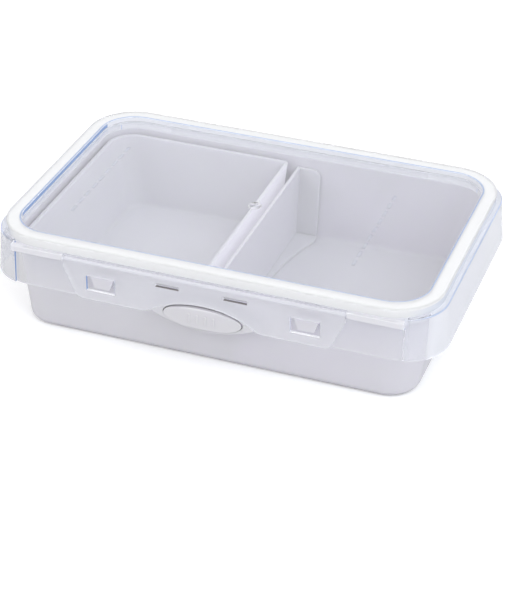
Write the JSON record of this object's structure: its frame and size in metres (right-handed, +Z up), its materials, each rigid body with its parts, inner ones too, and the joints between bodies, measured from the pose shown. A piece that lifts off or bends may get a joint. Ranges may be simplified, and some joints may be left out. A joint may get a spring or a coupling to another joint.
{
  "type": "lunch box",
  "caption": "Low rectangular lunch box: tub with lift-out tray and sliding divider, clear sealed lid with hinged snap flaps along both long sides, and push buttons below them.",
  "frame": {"origin": "centre of the bounding box on the underside plane the box stands on", "axes": "+X along the long side towards the divider's compartment, -Y towards the front flap, +Z up through the lid"},
  "size_m": [0.2226, 0.1426, 0.054],
  "materials": {
    "lilac_plastic": "satin",
    "clear_plastic": "polished",
    "pale_plastic": "satin",
    "silicone": "matte",
    "spring_steel": "brushed"
  },
  "bodies": {
    "base": {"tub": "lilac_plastic", "front_button_bezel": "lilac_plastic", "back_button_bezel": "lilac_plastic", "front_button_spring": "spring_steel", "back_button_spring": "spring_steel"},
    "lid": {"lid": "clear_plastic", "lid_seal": "silicone"},
    "front_flap": {"front_flap": "clear_plastic"},
    "back_flap": {"back_flap": "clear_plastic"},
    "tray": {"inner_tray": "lilac_plastic"},
    "divider": {"divider": "lilac_plastic"},
    "front_button": {"front_push_button": "pale_plastic"},
    "back_button": {"back_push_button": "pale_plastic"}
  },
  "joints": [
    {"name": "lid_lift", "type": "slide", "parent": "base", "child": "lid", "axis": [0, 0, 1], "range_m": [0, 0.1]},
    {"name": "front_flap_hinge", "type": "hinge", "parent": "lid", "child": "front_flap", "pos_m": [0, -0.07, 0.0474], "axis": [-1, 0, 0], "range_deg": [0, 110]},
    {"name": "back_flap_hinge", "type": "hinge", "parent": "lid", "child": "back_flap", "pos_m": [0, 0.07, 0.0474], "axis": [1, 0, 0], "range_deg": [0, 110]},
    {"name": "tray_lift", "type": "slide", "parent": "base", "child": "tray", "axis": [0, 0, 1], "range_m": [0, 0.05]},
    {"name": "divider_slide", "type": "slide", "parent": "base", "child": "divider", "axis": [1, 0, 0], "range_m": [0, 0.06]},
    {"name": "front_button_press", "type": "slide", "parent": "base", "child": "front_button", "axis": [0, 1, 0], "range_m": [0, 0.0015], "stiffness_N_per_m": 600, "springref_m": -0.0005},
    {"name": "back_button_press", "type": "slide", "parent": "base", "child": "back_button", "axis": [0, -1, 0], "range_m": [0, 0.0015], "stiffness_N_per_m": 600, "springref_m": -0.0005}
  ],
  "couplings": [
    {"joint": "tray_lift", "follows": "lid_lift", "ratio": 0.5}
  ]
}
